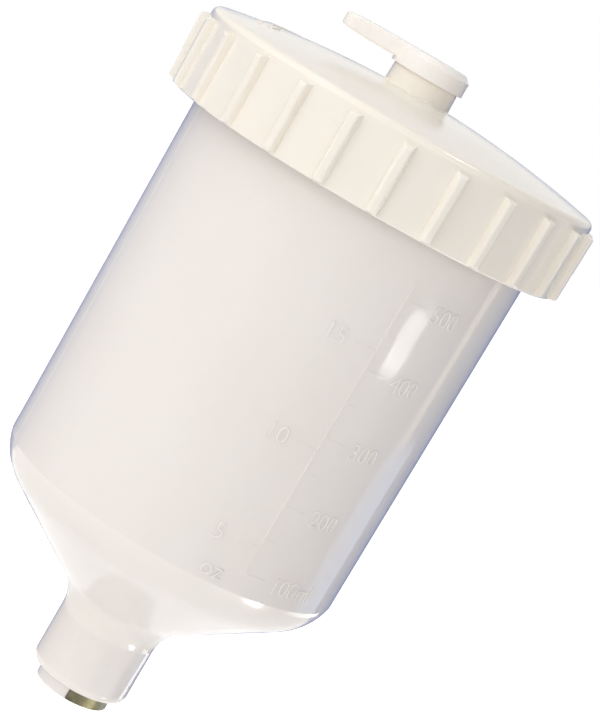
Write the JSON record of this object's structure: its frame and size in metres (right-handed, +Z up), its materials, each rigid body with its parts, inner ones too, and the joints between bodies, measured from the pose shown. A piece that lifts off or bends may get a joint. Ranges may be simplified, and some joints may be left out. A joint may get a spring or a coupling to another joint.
{
  "type": "spray gun paint cup",
  "caption": "Gravity-feed spray gun cup with a conical outlet, a threaded metal insert in its neck, and a ribbed screw lid with a rotary vent.",
  "frame": {"origin": "centre of the threaded mouth at the cup's lower end, in the plane of its end face", "axes": "+Z up the cup's axis from the outlet to the lid, -X the way the vent lever points when the vent is shut, +Y the way the vent cap's air channel opens"},
  "size_m": [0.1048, 0.1048, 0.1745],
  "materials": {
    "cup_plastic": "white, slightly translucent, satin",
    "lid_plastic": "cream white, glossy",
    "vent_plastic": "cream white, glossy",
    "insert_metal": "dull nickel-plated brass",
    "seal_rubber": "pale soft elastomer"
  },
  "bodies": {
    "cup": {"cup_body": "cup_plastic", "threaded_insert": "insert_metal"},
    "seal": {"lid_seal": "seal_rubber"},
    "lid": {"lid": "lid_plastic"},
    "vent": {"vent_cap": "vent_plastic", "vent_seal": "seal_rubber"}
  },
  "joints": [
    {"name": "lid_rise", "type": "slide", "parent": "cup", "child": "seal", "axis": [0, 0, 1], "range_m": [0, 0.02]},
    {"name": "lid_turn", "type": "hinge", "parent": "seal", "child": "lid", "pos_m": [0, 0, 0.1566], "axis": [0, 0, 1], "range_deg": [0, 1440]},
    {"name": "vent_turn", "type": "hinge", "parent": "lid", "child": "vent", "pos_m": [0, 0, 0.17125], "axis": [0, 0, 1], "range_deg": [0, 90]}
  ],
  "couplings": [
    {"joint": "lid_rise", "follows": "lid_turn", "m_per_rad": 0.00079577}
  ]
}
